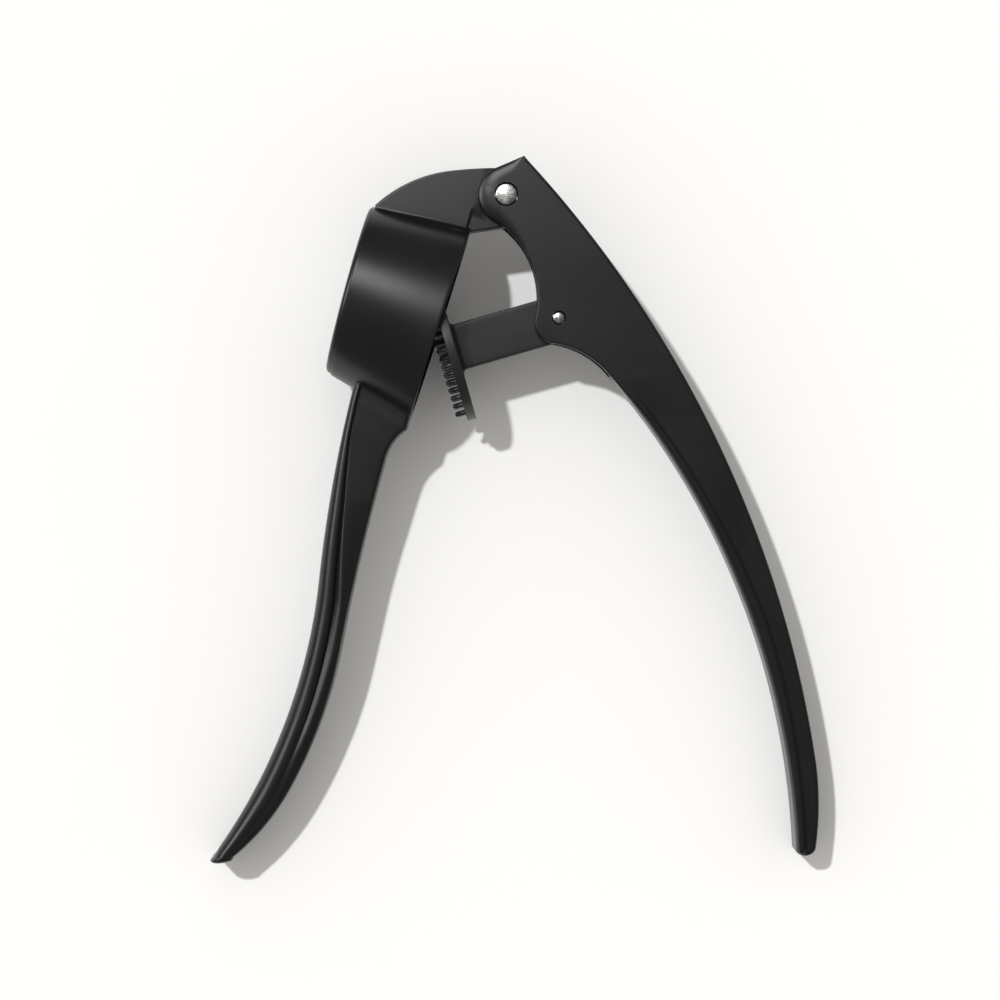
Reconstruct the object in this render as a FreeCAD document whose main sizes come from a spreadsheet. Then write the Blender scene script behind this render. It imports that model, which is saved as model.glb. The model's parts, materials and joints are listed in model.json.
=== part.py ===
"""Hand garlic press, lying on its side, in millimetres.

The working frame has the main pivot pin on the Z axis at the press's mid-plane, X along the hopper from
its sieve to its mouth, and Y from the hopper up to the hinge. Each piece is then placed by the sheet's
frame_shift cells, which put the origin under the middle of the press, on the surface that it lies on.
"""
import FreeCAD, Part
import math
import os
import Sketcher

Vector = FreeCAD.Vector
Rotation = FreeCAD.Rotation

# Driving sizes: alias, value in millimetres or degrees, and what it is.
SIZES = [
    ("pin_spacing", 33.15, "main pivot pin to plunger pivot pin"),
    ("rest_opening", 38.4, "press handle's opening at rest, 0 with the plunger pin on the hopper axis"),
    ("plunger_tilt", 31.4, "plunger's turn from square to the sieve, at rest"),
    ("hopper_back", 31.9, "main pin back to the sieve end's outer face"),
    ("hopper_axis_rise", 0.45, "middle of the sieve end above the chamber's axis"),
    ("hopper_height", 42.8, "sieve end's outer oval, towards the hinge"),
    ("hopper_width", 34.0, "hopper's outer oval, along the pins"),
    ("mouth_back", 5.87, "main pin back to the mouth plane, at the pin's level"),
    ("mouth_tilt", 2.4, "lean of the mouth plane"),
    ("mouth_axis_sag", 2.38, "middle of the mouth below the chamber's axis, along the mouth plane"),
    ("mouth_height", 50.4, "mouth's outer oval, towards the hinge"),
    ("chamber_height", 37.8, "chamber's oval at the sieve, towards the hinge"),
    ("chamber_width", 29.2, "chamber's oval, along the pins"),
    ("mouth_bore_height", 46.4, "chamber's oval at the mouth, towards the hinge"),
    ("mouth_bore_width", 30.6, "chamber's oval at the mouth, along the pins"),
    ("ledge_thickness", 1.3, "rim that holds the sieve in"),
    ("ledge_width", 1.5, "how far the rim reaches in under the sieve"),
    ("hopper_edge_round", 1.2, "rounded edge around the sieve end"),
    ("sieve_thickness", 1.5, "perforated plate"),
    ("sieve_clearance", 0.05, "gap around the sieve in its seat"),
    ("hole_dia", 1.9, "sieve hole"),
    ("hole_pitch", 4.0, "sieve holes in a row, along the pins"),
    ("row_pitch", 2.0, "sieve rows, each shifted by half a pitch"),
    ("hole_margin", 1.9, "sieve's edge to the nearest hole centre"),
    ("ear_thickness", 7.6, "ear over the hopper"),
    ("tongue_start", 7.2, "main pin back to the step down to the tongue"),
    ("tongue_radius", 6.7, "ear's round end about the main pin"),
    ("neck_bottom_back", 5.6, "main pin back to the neck's lower corner at the mouth"),
    ("neck_bottom_drop", 10.9, "main pin down to that corner"),
    ("ear_arc_one_radius", 33.2, "ear's top edge, steep arc at the sieve end"),
    ("ear_arc_one_sweep", 36.0, "its turn"),
    ("ear_arc_two_radius", 107.2, "ear's top edge, shallow arc towards the hinge"),
    ("ear_arc_two_sweep", 6.4, "its turn"),
    ("ear_heading", 57.9, "ear's top edge at the sieve end, from the hopper axis"),
    ("grip_width", 15.0, "hopper handle, along the pins"),
    ("grip_edge_round", 1.5, "rounded edges of the hopper handle"),
    ("palm_arc_one_radius", 352.0, "hopper handle's outer edge, upper arc"),
    ("palm_arc_one_sweep", 7.5, "its turn"),
    ("palm_arc_two_radius", 145.0, "hopper handle's outer edge, lower arc"),
    ("palm_arc_two_sweep", 28.5, "its turn"),
    ("grip_root_wall", 1.5, "how deep the handle's root sits in the hopper's wall"),
    ("gusset_arc_radius", 12.2, "hopper handle's inner edge under the mouth"),
    ("gusset_arc_sweep", 41.4, "its turn"),
    ("finger_arc_one_radius", 560.0, "hopper handle's inner edge, upper arc"),
    ("finger_arc_one_sweep", 5.0, "its turn"),
    ("finger_arc_two_radius", 118.4, "hopper handle's inner edge, middle arc"),
    ("finger_arc_two_sweep", 17.8, "its turn"),
    ("finger_arc_three_radius", 57.1, "hopper handle's inner edge, lower arc"),
    ("finger_arc_three_sweep", 21.9, "its turn"),
    ("grip_tip_arc_radius", 9.0, "palm side of the hopper handle's tip"),
    ("grip_tip_arc_sweep", 14.0, "its turn"),
    ("grip_tip_length", 2.4, "straight end of the palm side"),
    ("main_pin_dia", 5.6, "main pivot pin"),
    ("plunger_pin_dia", 3.2, "plunger pivot pin"),
    ("pin_running_gap", 0.05, "pin in the piece that turns on it, on the radius"),
    ("pin_recess", 0.15, "pin ends below the cheeks' faces"),
    ("pin_end_chamfer", 0.25, "broken edge at each pin end"),
    ("press_width", 13.6, "press handle over both cheeks"),
    ("cheek_gap", 8.0, "between the cheeks"),
    ("side_gap", 0.5, "between each cheek and the tongue or arm it holds"),
    ("spine_thickness", 2.3, "outer wall that joins the cheeks"),
    ("channel_length", 62.0, "channel between the cheeks, along the spine"),
    ("channel_end_round", 4.0, "channel's corner at its far end"),
    ("nose_radius", 7.0, "cheeks' round end about the main pin"),
    ("press_edge_round", 1.2, "rounded edges of the press handle"),
    ("corner_out", 1.75, "main pin to the press handle's corner, along X"),
    ("corner_up", 10.25, "main pin to the press handle's corner, along Y"),
    ("outer_heading", 31.7, "press handle's outer edge at the corner, downwards"),
    ("outer_arc_one_radius", 282.8, "press handle's outer edge, upper arc"),
    ("outer_arc_one_sweep", 34.0, "its turn"),
    ("outer_arc_two_radius", 78.9, "press handle's outer edge, lower arc"),
    ("outer_arc_two_sweep", 16.8, "its turn"),
    ("press_tip_bulge", 2.2, "press handle's round tip beyond its two edges"),
    ("nose_end_angle", 104.3, "where the nose runs into the finger arch, down from X"),
    ("arch_arc_radius", 22.1, "arch between the two pins"),
    ("arch_arc_sweep", 73.9, "its turn"),
    ("boss_arc_radius", 5.2, "bulge around the plunger pin"),
    ("boss_arc_sweep", 95.7, "its turn"),
    ("throat_arc_radius", 22.2, "inner edge below the bulge"),
    ("throat_arc_sweep", 41.6, "its turn"),
    ("inner_arc_radius", 196.0, "press handle's long inner edge"),
    ("inner_arc_sweep", 37.8, "its turn"),
    ("plate_height", 36.6, "plunger plate's oval, towards the hinge"),
    ("plate_width", 28.0, "plunger plate's oval, along the pins"),
    ("plate_thickness", 2.3, "plunger plate"),
    ("plate_reach", 28.75, "plunger pin to the plate's front face"),
    ("arm_height", 11.5, "plunger's arm"),
    ("arm_root_round", 1.25, "fillet between arm and plate"),
    ("insert_rim", 1.0, "plunger plate's rim around the peg plate"),
    ("insert_depth", 1.0, "peg plate's base, sunk in the plunger plate"),
    ("peg_dia", 1.4, "peg"),
    ("peg_length", 2.6, "peg above the plate's face"),
    ("peg_margin", 1.6, "plunger plate's edge to the nearest peg centre"),
    ("washer_thickness", 0.4, "washer"),
    ("main_washer_dia", 11.0, "washer on the main pin"),
    ("plunger_washer_dia", 8.0, "washer on the plunger pin"),
    ("washer_bore_gap", 0.1, "washer's bore on its pin, on the radius"),
    ("frame_shift_x", 0.0, "worked out from the whole press"),
    ("frame_shift_y", 0.0, "worked out from the whole press"),
    ("frame_shift_z", 0.0, "worked out from the whole press"),
]
VALUE_COLUMN = "B"
OVERRUN = 5.0  # how far a cutting outline runs past what it cuts
BETWEEN_CHEEKS = "(sizes.cheek_gap - 2 * sizes.side_gap)"  # the tongue and the arm
NEAR = 1e-3  # two places this close are the same
JOINED = 1e-6  # and two ends of an outline
FINE = 0.02  # facets this close to the true surface, to measure the whole press

doc = FreeCAD.newDocument("garlic_press")
sheet = doc.addObject("Spreadsheet::Sheet", "sizes")


def fill_sheet():
    """Write every driving size to its own named cell."""
    for row, (alias, value, meaning) in enumerate(SIZES, 1):
        sheet.set(f"A{row}", alias)
        sheet.set(f"{VALUE_COLUMN}{row}", str(value))
        sheet.set(f"C{row}", meaning)
        sheet.setAlias(f"{VALUE_COLUMN}{row}", alias)
    doc.recompute()


def size(alias):
    """A size as the sheet holds it."""
    return float(sheet.get(alias))


def sizes(*aliases):
    """Several sizes at once."""
    return [size(alias) for alias in aliases]


def turn(degrees):
    """Unit vector at an angle from X."""
    return Vector(math.cos(math.radians(degrees)), math.sin(math.radians(degrees)), 0)


class Outline:
    """A closed outline in a plane, built as a chain of straight lines and tangent arcs."""

    def __init__(self, start, heading=0.0):
        self.first = start
        self.point = start
        self.heading = heading
        self.pieces = []
        self.radius_names = {}

    def line_to(self, end):
        """Go straight to a point."""
        self.pieces.append(Part.LineSegment(self.point, end))
        step = end - self.point
        self.heading = math.degrees(math.atan2(step.y, step.x))
        self.point = end
        return self

    def arc(self, radius, sweep, name=None):
        """Turn left (positive sweep) or right, starting along the present heading."""
        side = math.copysign(1.0, sweep)
        centre = self.point + turn(self.heading + 90 * side) * radius
        spoke = self.heading - 90 * side
        middle = centre + turn(spoke + sweep / 2) * radius
        end = centre + turn(spoke + sweep) * radius
        if name:
            self.radius_names[len(self.pieces)] = name
        self.pieces.append(Part.Arc(self.point, middle, end))
        self.point = end
        self.heading += sweep
        return self

    def named_arc(self, name, side):
        """An arc whose radius and sweep are the sheet's, turning left (1) or right (-1)."""
        return self.arc(size(f"{name}_radius"), side * size(f"{name}_sweep"), f"{name}_radius")

    def arc_about(self, centre, radius, start, end):
        """Part of a circle about a centre, from one angle to another, reached in a straight line."""
        begin = centre + turn(start) * radius
        if begin.distanceToPoint(self.point) > JOINED:
            self.line_to(begin)
        middle = centre + turn((start + end) / 2) * radius
        finish = centre + turn(end) * radius
        self.pieces.append(Part.Arc(begin, middle, finish))
        self.point = finish
        self.heading = end + math.copysign(90.0, end - start)
        return self

    def bulge_to(self, end, bulge):
        """An arc to a point, standing out to the left of the way there by the bulge."""
        step = end - self.point
        out = Vector(-step.y, step.x, 0).normalize()
        middle = (self.point + end) * 0.5 + out * bulge
        self.pieces.append(Part.Arc(self.point, middle, end))
        self.point = end
        return self

    def close(self):
        """Go straight back to the start."""
        if self.point.distanceToPoint(self.first) > JOINED:
            self.line_to(self.first)
        return self


def chain_end(start, heading, arcs):
    """Where a chain of tangent arcs ends, and its heading there."""
    chain = Outline(start, heading)
    for radius, sweep in arcs:
        chain.arc(radius, sweep)
    return chain.point, chain.heading


# ---------------------------------------------------------------- bodies, sketches and features


def place(piece, at_plunger_pin=False):
    """Tie a piece's placement to the sheet: the frame shift, and for the plunger its pin and its tilt."""
    pin = {
        "x": " + sizes.pin_spacing * sin(sizes.rest_opening * 1 deg)",
        "y": " - sizes.pin_spacing * cos(sizes.rest_opening * 1 deg)",
        "z": "",
    }
    for axis in "xyz":
        offset = pin[axis] if at_plunger_pin else ""
        piece.setExpression(f"Placement.Base.{axis}", f"sizes.frame_shift_{axis}{offset}")


def new_body(label, at_plunger_pin=False, tilted=False):
    """A body named for its piece, placed from the sheet."""
    body = doc.addObject("PartDesign::Body", label)
    body.Label = label
    if tilted:
        body.Placement = FreeCAD.Placement(Vector(), Rotation(Vector(0, 0, 1), size("plunger_tilt")))
        body.setExpression("Placement.Rotation.Angle", "sizes.plunger_tilt * 1 deg")
    place(body, at_plunger_pin)
    return body


def sketch_on(body, role, name, offset=None, lean=None):
    """A sketch on one of a body's own origin planes, moved along its normal by an expression."""
    sketch = body.newObject("Sketcher::SketchObject", name)
    plane = next(f for f in body.Origin.OriginFeatures if f.Role == role)
    sketch.AttachmentSupport = (plane, [""])
    sketch.MapMode = "FlatFace"
    if lean:
        sketch.AttachmentOffset = FreeCAD.Placement(Vector(), Rotation(Vector(0, 1, 0), -1.0))
        sketch.setExpression("AttachmentOffset.Rotation.Angle", lean)
    if offset:
        sketch.setExpression("AttachmentOffset.Base.z", offset)
    return sketch


def bind(sketch, kind, where, expression, name):
    """A driving constraint whose value is an expression of the sheet's cells."""
    index = sketch.addConstraint(Sketcher.Constraint(kind, *where))
    sketch.renameConstraint(index, name)
    sketch.setExpression(f"Constraints.{name}", expression)


def draw(sketch, outline):
    """Put an outline in a sketch, join its ends, and tie its named arcs to the sheet."""
    first = sketch.GeometryCount
    sketch.addGeometry(outline.pieces, False)
    sketch.detectMissingPointOnPointConstraints(JOINED, False)
    sketch.makeMissingPointOnPointCoincident()
    for index, name in outline.radius_names.items():
        where = (first + index, sketch.Geometry[first + index].Radius)
        bind(sketch, "Radius", where, f"sizes.{name}", name)


def draw_oval(sketch, centre_drop, height, width):
    """An ellipse on the sketch's first axis: centre below the origin, height along that axis."""
    drop, full_height, full_width = (worked_out(text) for text in (centre_drop, height, width))
    half_height = full_height / 2
    half_width = full_width / 2
    centre = Vector(-drop, 0, 0)
    tall = centre + Vector(half_height, 0, 0)
    wide = centre + Vector(0, half_width, 0)
    index = sketch.addGeometry(Part.Ellipse(tall, wide, centre), False)
    sketch.exposeInternalGeometry(index)
    bind(sketch, "Distance", (index + 1, full_height), height, "oval_height")
    bind(sketch, "Distance", (index + 2, full_width), width, "oval_width")
    if drop:
        bind(sketch, "DistanceX", (index, 3, -1, 1, drop), centre_drop, "oval_drop")
    sketch.addConstraint(Sketcher.Constraint("PointOnObject", index, 3, -1))
    sketch.addConstraint(Sketcher.Constraint("PointOnObject", index + 1, 2, -1))


def worked_out(expression):
    """The number that an expression of the sheet's cells gives now."""
    return float(sheet.evalExpression(expression.replace("sizes.", "")))


def pad(body, sketch, length, midplane=True, reverse=False, kind="Pad"):
    """A pad, or a pocket, whose length is an expression of the sheet's cells."""
    feature = body.newObject(f"PartDesign::{kind}", f"{sketch.Name}_{kind.lower()}")
    feature.Profile = sketch
    feature.setExpression("Length", length)
    feature.Midplane = midplane
    feature.Reversed = reverse
    doc.recompute()
    return feature


def pocket(body, sketch, length, midplane=True, reverse=False):
    """A pocket, checked to have taken material away."""
    before = body.Shape.Volume
    feature = pad(body, sketch, length, midplane, reverse, "Pocket")
    if body.Shape.Volume >= before:
        raise RuntimeError(f"{feature.Name} cuts nothing")
    return feature


def loft(body, sketches, kind):
    """A straight loft through two sketches, added or taken away."""
    feature = body.newObject(f"PartDesign::{kind}", f"{sketches[0].Name}_loft")
    feature.Profile = sketches[0]
    feature.Sections = sketches[1:]
    feature.Ruled = True
    doc.recompute()
    return feature


def round_edges(body, wanted, radius, name):
    """Fillet the edges of a body's present solid that a test picks out."""
    base = body.Tip
    names = [f"Edge{i}" for i, edge in enumerate(base.Shape.Edges, 1) if wanted(edge)]
    feature = body.newObject("PartDesign::Fillet", name)
    feature.Base = (base, names)
    feature.setExpression("Radius", radius)
    doc.recompute()
    return feature


def flat_edge_at(edge, height):
    """Whether a whole edge lies in one plane parallel to the mid-plane, that far above or below it."""
    return all(abs(abs(v.Z) - height) < NEAR for v in edge.Vertexes) and edge.BoundBox.ZLength < NEAR


def pin_hole(body, at, radius, name):
    """A hole through a whole body along Z."""
    sketch = sketch_on(body, "XY_Plane", f"{name}_sketch")
    circle = sketch.addGeometry(Part.Circle(at, Vector(0, 0, 1), 1.0), False)
    bind(sketch, "Radius", (circle, 1.0), radius, "hole_radius")
    doc.recompute()
    return pocket(body, sketch, "sizes.hopper_width")


def hole_grid(half_height, half_width):
    """Centres of a staggered grid of holes or pegs inside an oval, about its middle."""
    pitch, step = sizes("hole_pitch", "row_pitch")
    rows = int(half_height / step)
    columns = int(2 * half_width / pitch) + 1
    centres = []
    for row in range(-rows, rows + 1):
        shift = 0.5 * (row % 2)
        for column in range(-columns, columns + 1):
            centre = Vector(row * step, (column + shift) * pitch, 0)
            if (centre.x / half_height) ** 2 + (centre.y / half_width) ** 2 <= 1:
                centres.append(centre)
    return centres


def draw_grid(sketch, centres, radius):
    """Equal circles at the grid's centres, the first tied to the sheet."""
    circles = [Part.Circle(at, Vector(0, 0, 1), 1.0) for at in centres]
    sketch.addGeometry(circles, False)
    same = [Sketcher.Constraint("Equal", 0, i) for i in range(1, len(circles))]
    sketch.addConstraint(same)
    bind(sketch, "Radius", (0, 1.0), radius, "grid_radius")


# ---------------------------------------------------------------- points that several pieces share

AXIS_DROP = "sizes.pin_spacing - sizes.hopper_axis_rise"  # main pin down to the middle of the sieve end
MOUTH_DROP = "sizes.pin_spacing + sizes.mouth_axis_sag"  # and down to the middle of the mouth


def plunger_pin_at():
    """Plunger pin's centre at rest."""
    spacing, opening = sizes("pin_spacing", "rest_opening")
    return turn(opening - 90) * spacing


def hopper_floor(back):
    """Height of the hopper's outer wall on the handle's side, at a distance behind the main pin."""
    mouth_back, lean, mouth_height = sizes("mouth_back", "mouth_tilt", "mouth_height")
    reach = worked_out(MOUTH_DROP) + mouth_height / 2
    low_back = mouth_back + reach * math.sin(math.radians(lean))
    low = -reach * math.cos(math.radians(lean))
    start = -worked_out(AXIS_DROP) - size("hopper_height") / 2
    share = (size("hopper_back") - back) / (size("hopper_back") - low_back)
    return start + (low - start) * share


# ---------------------------------------------------------------- hopper and its handle

PALM_ARCS = ["palm_arc_one", "palm_arc_two"]
FINGER_ARCS = ["gusset_arc", "finger_arc_one", "finger_arc_two", "finger_arc_three"]
PALM_SIDE = [1, -1]
FINGER_SIDE = [1, 1, -1, -1]
PALM_START_BACK = 23.9
PALM_HEADING = -88.5
GUSSET_START_BACK = 8.5
GUSSET_HEADING = -131.9
ROOT_STEP = 2.0  # straight start of the palm side below the hopper's wall
ROOT_LEAN = 0.4  # finger side's end, up inside the hopper's wall
ROOT_RISE = 1.0
GRIP_TIP_SHARE = 0.55  # where the blunt tip's low corner comes, from the palm side to the finger side
GRIP_TIP_OUT = Vector(0.5, -1.3, 0)  # and how far it stands out there
EAR_START_LIFT = 0.3  # ear's top edge above the sieve end's outer oval, where it starts
CHIN_ACROSS = 0.45  # chin under the main pin, in tongue radii
CHIN_DROP = 1.07
NOSE_START = 100.0  # the tongue's round end, from here down to here
NOSE_END = -45.0
MOUTH_LEAN = "-sizes.mouth_tilt * 1 deg"


def ear_outline(far_end):
    """The flat ear, from the sieve end to its round end at the main pin, or cut short behind the cheeks."""
    back = size("hopper_back") - size("hopper_edge_round")
    top = -worked_out(AXIS_DROP) + size("hopper_height") / 2
    wall = (size("hopper_height") - size("chamber_height")) / 2
    outline = Outline(Vector(-back, top + EAR_START_LIFT, 0), size("ear_heading"))
    outline.named_arc("ear_arc_one", -1).named_arc("ear_arc_two", -1)
    neck = Vector(-size("neck_bottom_back"), -size("neck_bottom_drop"), 0)
    if far_end == "tongue":
        radius = size("tongue_radius")
        outline.arc_about(Vector(), radius, NOSE_START, NOSE_END)
        outline.line_to(Vector(CHIN_ACROSS * radius, -CHIN_DROP * radius, 0))
        outline.line_to(neck)
    else:
        step = -size("tongue_start")
        outline = Outline(outline.first, size("ear_heading")).named_arc("ear_arc_one", -1)
        rest = math.degrees((step - outline.point.x) / size("ear_arc_two_radius"))
        outline.arc(size("ear_arc_two_radius"), -rest)
        outline.line_to(Vector(step, neck.y + EAR_START_LIFT, 0))
    outline.line_to(Vector(neck.x - wall, neck.y - wall, 0))
    outline.line_to(Vector(-back, top - wall, 0))
    return outline.close()


def hopper_handle_outline():
    """The S-curved handle, from inside the hopper's wall down to its tip and back up the inner edge."""
    wall = size("grip_root_wall")
    top = Vector(-PALM_START_BACK, hopper_floor(PALM_START_BACK) + wall, 0)
    outline = Outline(top).line_to(top - Vector(0, wall + ROOT_STEP, 0))
    outline.heading = PALM_HEADING
    for name, side in zip(PALM_ARCS, PALM_SIDE):
        outline.named_arc(name, side)
    outline.named_arc("grip_tip_arc", 1)
    outline.line_to(outline.point + turn(outline.heading) * size("grip_tip_length"))
    tip = outline.point
    start = Vector(-GUSSET_START_BACK, hopper_floor(GUSSET_START_BACK) - wall, 0)
    arcs = [(size(f"{n}_radius"), s * size(f"{n}_sweep")) for n, s in zip(FINGER_ARCS, FINGER_SIDE)]
    far, heading = chain_end(start, GUSSET_HEADING, arcs)
    outline.line_to(tip + (far - tip) * GRIP_TIP_SHARE + GRIP_TIP_OUT)
    outline.line_to(far)
    outline.heading = heading + 180
    for name, side in reversed(list(zip(FINGER_ARCS, FINGER_SIDE))):
        outline.named_arc(name, -side)
    outline.line_to(start + Vector(ROOT_LEAN, wall + ROOT_RISE, 0))
    return outline.close()


def make_hopper_handle():
    """The casting: hopper, ear and lower handle, then the chamber, the sieve's seat and the pin's bore."""
    body = new_body("hopper_handle")
    grip = sketch_on(body, "XY_Plane", "grip_outline")
    draw(grip, hopper_handle_outline())
    pad(body, grip, "sizes.grip_width")
    half = size("grip_width") / 2
    round_edges(body, lambda e: flat_edge_at(e, half), "sizes.grip_edge_round", "grip_round")
    back_face = sketch_on(body, "YZ_Plane", "hopper_back_oval", "-sizes.hopper_back")
    draw_oval(back_face, AXIS_DROP, "sizes.hopper_height", "sizes.hopper_width")
    mouth = sketch_on(body, "YZ_Plane", "hopper_mouth_oval", "-sizes.mouth_back", MOUTH_LEAN)
    draw_oval(mouth, MOUTH_DROP, "sizes.mouth_height", "sizes.hopper_width")
    loft(body, [mouth, back_face], "AdditiveLoft")
    back = -size("hopper_back")
    round_edges(body, lambda e: e.BoundBox.XMax < back + NEAR, "sizes.hopper_edge_round", "sieve_end_round")
    for name, far_end, thickness in (
        ("ear", "step", "sizes.ear_thickness"),
        ("tongue", "tongue", BETWEEN_CHEEKS),
    ):
        sketch = sketch_on(body, "XY_Plane", f"{name}_outline")
        draw(sketch, ear_outline(far_end))
        pad(body, sketch, thickness)
    seat = sketch_on(body, "YZ_Plane", "chamber_back_oval", "-(sizes.hopper_back - sizes.ledge_thickness)")
    draw_oval(seat, "sizes.pin_spacing", "sizes.chamber_height", "sizes.chamber_width")
    bore = sketch_on(body, "YZ_Plane", "chamber_mouth_oval", "-sizes.mouth_back", MOUTH_LEAN)
    draw_oval(bore, MOUTH_DROP, "sizes.mouth_bore_height", "sizes.mouth_bore_width")
    loft(body, [bore, seat], "SubtractiveLoft")
    window = sketch_on(body, "YZ_Plane", "sieve_window", "-sizes.hopper_back")
    draw_oval(window, "sizes.pin_spacing", "sizes.chamber_height - 2 * sizes.ledge_width",
              "sizes.chamber_width - 2 * sizes.ledge_width")
    pocket(body, window, "2 * sizes.ledge_thickness", midplane=True)
    pin_hole(body, Vector(), "sizes.main_pin_dia / 2 + sizes.pin_running_gap", "main_pin_bore")
    return body


def make_sieve_plate():
    """The perforated plate in its seat behind the chamber."""
    body = new_body("sieve_plate")
    face = sketch_on(body, "YZ_Plane", "sieve_oval", "-(sizes.hopper_back - sizes.ledge_thickness)")
    draw_oval(face, "sizes.pin_spacing", "sizes.chamber_height - 2 * sizes.sieve_clearance",
              "sizes.chamber_width - 2 * sizes.sieve_clearance")
    pad(body, face, "sizes.sieve_thickness", midplane=False)
    margin = size("hole_margin")
    centres = hole_grid(size("chamber_height") / 2 - margin, size("chamber_width") / 2 - margin)
    drop = Vector(-size("pin_spacing"), 0, 0)
    holes = sketch_on(body, "YZ_Plane", "sieve_holes", "-(sizes.hopper_back - sizes.ledge_thickness)")
    draw_grid(holes, [at + drop for at in centres], "sizes.hole_dia / 2")
    pocket(body, holes, "4 * sizes.sieve_thickness")
    return body


# ---------------------------------------------------------------- press handle


def press_handle_outline():
    """Corner, long outer edge, round tip, long inner edge, bulge at the plunger pin, arch, and the nose."""
    corner = Vector(*sizes("corner_out", "corner_up"), 0)
    outline = Outline(corner, -size("outer_heading"))
    outline.named_arc("outer_arc_one", -1).named_arc("outer_arc_two", -1)
    nose, nose_end = sizes("nose_radius", "nose_end_angle")
    names = [("arch_arc", -1), ("boss_arc", 1), ("throat_arc", -1), ("inner_arc", -1)]
    arcs = [(size(f"{name}_radius"), side * size(f"{name}_sweep")) for name, side in names]
    far, heading = chain_end(turn(-nose_end) * nose, 90 - nose_end, arcs)
    outline.bulge_to(far, size("press_tip_bulge"))
    outline.heading = heading + 180
    for name, side in reversed(names):
        outline.named_arc(name, -side)
    reach = corner.Length
    spread = math.degrees(math.acos(nose / reach))
    tangent = math.degrees(math.atan2(corner.y, corner.x)) + spread
    outline.arc_about(Vector(), nose, 360 - nose_end, tangent)
    return outline.close()


CHANNEL_END_TURN = 100.0  # turn at the channel's far end, on towards the inner edge
CHANNEL_END_DEPTH = 22.0  # from there out past the inner edge
CHANNEL_SPAN = 15.0  # open side, past the nose


def channel_outline():
    """The channel between the cheeks: along the spine's inner face, and open past the inner edge."""
    wall, length, heading = sizes("spine_thickness", "channel_length", "outer_heading")
    radius = size("outer_arc_one_radius")
    corner = Vector(*sizes("corner_out", "corner_up"), 0)
    inner = corner + turn(-heading - 90) * wall
    start = inner + turn(180 - heading) * OVERRUN
    outline = Outline(start).line_to(inner)
    outline.heading = -heading
    outline.arc(radius - wall, -math.degrees(length / radius))
    outline.arc(size("channel_end_round"), -CHANNEL_END_TURN, "channel_end_round")
    outline.line_to(outline.point + turn(outline.heading) * CHANNEL_END_DEPTH)
    outline.line_to(Vector(start.x - CHANNEL_SPAN, outline.point.y, 0))
    outline.line_to(Vector(outline.point.x, start.y, 0))
    return outline.close()


def make_press_handle():
    """Two cheeks, a spine and the upper handle, in one casting."""
    body = new_body("press_handle")
    side = sketch_on(body, "XY_Plane", "press_outline")
    draw(side, press_handle_outline())
    pad(body, side, "sizes.press_width")
    half = size("press_width") / 2
    round_edges(body, lambda e: flat_edge_at(e, half), "sizes.press_edge_round", "press_round")
    channel = sketch_on(body, "XY_Plane", "channel_outline")
    draw(channel, channel_outline())
    pocket(body, channel, "sizes.cheek_gap")
    pin_hole(body, Vector(), "sizes.main_pin_dia / 2", "main_pin_seat")
    pin_hole(body, plunger_pin_at(), "sizes.plunger_pin_dia / 2", "plunger_pin_seat")
    return body


# ---------------------------------------------------------------- plunger and its pegs


INSERT_OVAL = ("sizes.plate_height - 2 * sizes.insert_rim", "sizes.plate_width - 2 * sizes.insert_rim")


def arm_outline():
    """The flat arm, from the plate's back to its round end about the plunger pin."""
    reach, plate, height, root = sizes("plate_reach", "plate_thickness", "arm_height", "arm_root_round")
    half = height / 2
    back = -reach + plate
    outline = Outline(Vector(back - plate / 2, -half, 0)).line_to(Vector(0, -half, 0))
    outline.heading = 0
    outline.arc(half, 180)
    outline.line_to(Vector(back + root, half, 0))
    outline.heading = 180
    outline.arc(root, -90)
    outline.line_to(Vector(back - plate / 2, half + root, 0))
    return outline.close()


def make_plunger():
    """The plate and its arm, with a shallow seat for the peg plate in its face."""
    body = new_body("plunger", at_plunger_pin=True, tilted=True)
    face = sketch_on(body, "YZ_Plane", "plate_oval", "-sizes.plate_reach")
    draw_oval(face, "0", "sizes.plate_height", "sizes.plate_width")
    pad(body, face, "sizes.plate_thickness", midplane=False)
    arm = sketch_on(body, "XY_Plane", "arm_outline")
    draw(arm, arm_outline())
    pad(body, arm, BETWEEN_CHEEKS)
    seat = sketch_on(body, "YZ_Plane", "insert_seat", "-sizes.plate_reach")
    draw_oval(seat, "0", *INSERT_OVAL)
    pocket(body, seat, "2 * sizes.insert_depth")
    pin_hole(body, Vector(), "sizes.plunger_pin_dia / 2 + sizes.pin_running_gap", "plunger_pin_bore")
    return body


def make_peg_plate():
    """The insert: a thin base and round-ended pegs on the sieve's own grid."""
    body = new_body("peg_plate", at_plunger_pin=True, tilted=True)
    base = sketch_on(body, "YZ_Plane", "insert_oval", "-sizes.plate_reach")
    draw_oval(base, "0", *INSERT_OVAL)
    pad(body, base, "sizes.insert_depth", midplane=False)
    margin = size("peg_margin")
    centres = hole_grid(size("plate_height") / 2 - margin, size("plate_width") / 2 - margin)
    pegs = sketch_on(body, "YZ_Plane", "peg_circles", "-sizes.plate_reach")
    draw_grid(pegs, centres, "sizes.peg_dia / 2")
    pad(body, pegs, "sizes.peg_length", midplane=False, reverse=True)
    tip = -size("plate_reach") - size("peg_length")
    round_edges(body, lambda e: e.BoundBox.XMax < tip + NEAR, "sizes.peg_dia * 0.45", "peg_ends")
    return body


# ---------------------------------------------------------------- pins and washers


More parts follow.
